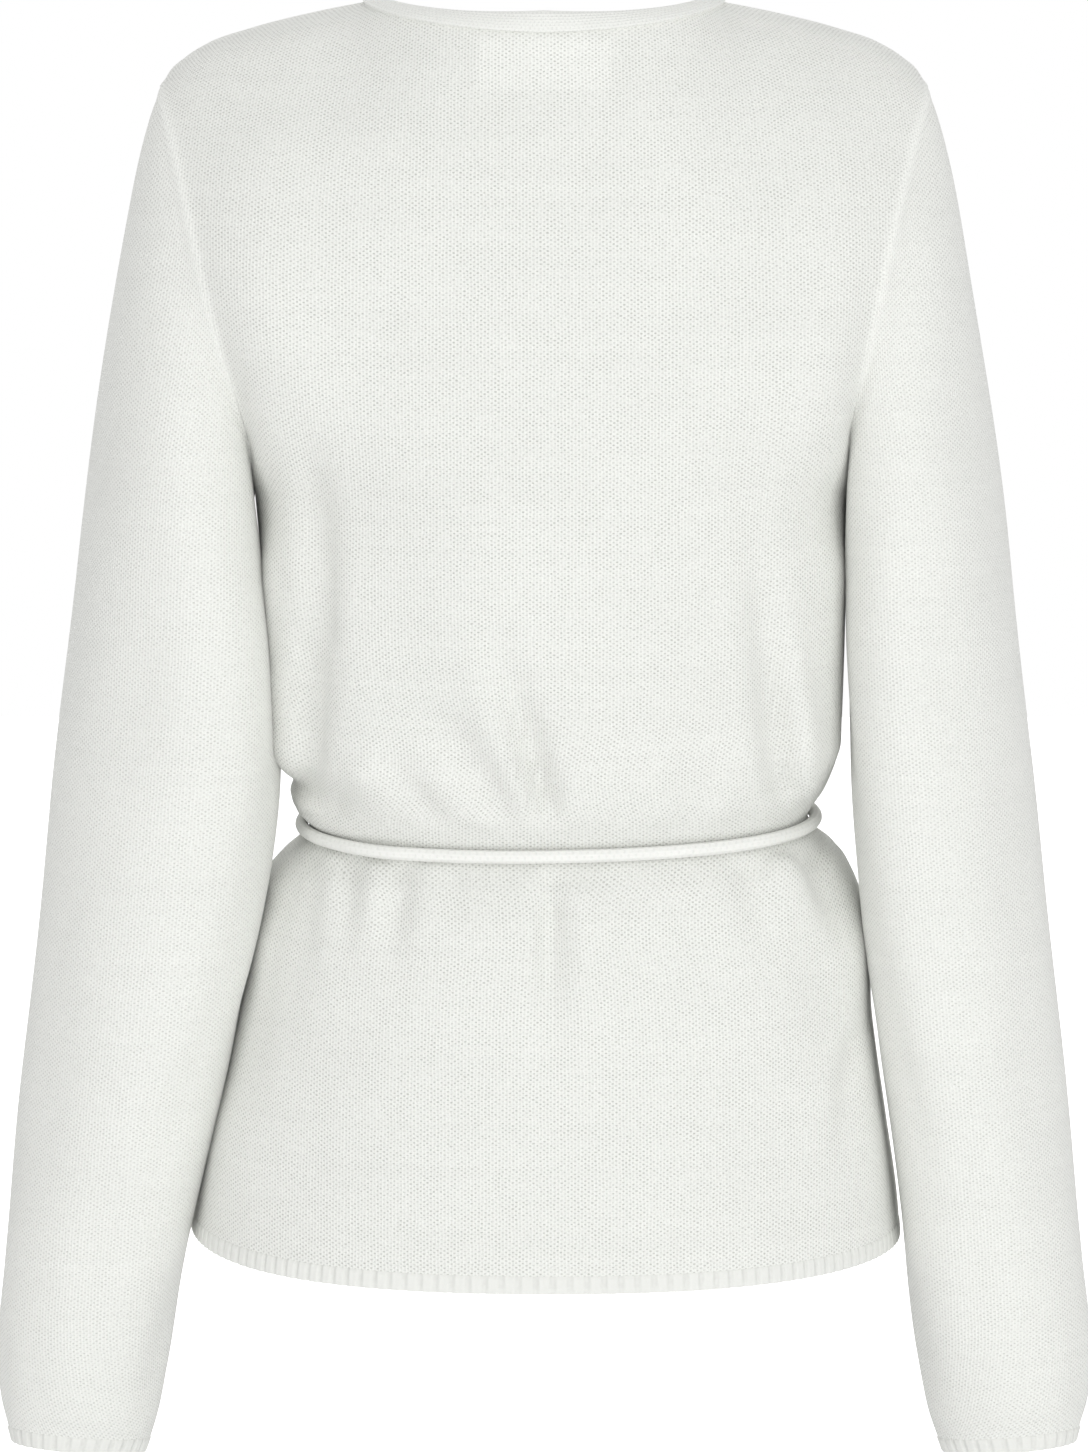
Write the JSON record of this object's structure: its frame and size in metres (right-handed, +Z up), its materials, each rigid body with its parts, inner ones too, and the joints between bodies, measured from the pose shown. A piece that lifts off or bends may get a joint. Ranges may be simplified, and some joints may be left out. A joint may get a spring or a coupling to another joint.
{
  "type": "wrap cardigan",
  "caption": "Fine knitted wrap cardigan with long set-in sleeves, a V front that crosses over and a thin tie cord at the waist, in the hollow form it has when worn.",
  "frame": {"origin": "midway between the two neck points, where the shoulder seams meet the neckline", "axes": "+Z up from hem to neck, +Y towards the garment's back, +X towards the wearer's left sleeve"},
  "size_m": [0.494, 0.239, 0.6554],
  "materials": {
    "knit": "soft brushed plain knit, matt",
    "rib": "narrow one by one rib in the same yarn, matt",
    "cord": "thin knitted tie cord in the same yarn, matt",
    "label": "plain woven label with nothing on it, matt"
  },
  "bodies": {
    "root": {"back_panel": "knit", "front_panel_left": "knit", "front_panel_right": "knit", "sleeve_left": "knit", "sleeve_right": "knit", "hem_rib_back": "rib", "hem_rib_front_left": "rib", "hem_rib_front_right": "rib", "cuff_rib_left": "rib", "cuff_rib_right": "rib", "neck_band_back": "rib", "front_band_left": "rib", "front_band_right": "rib", "belt_cord": "cord", "belt_knot": "cord", "belt_end_a": "cord", "belt_end_b": "cord", "neck_label": "label"}
  },
  "joints": []
}
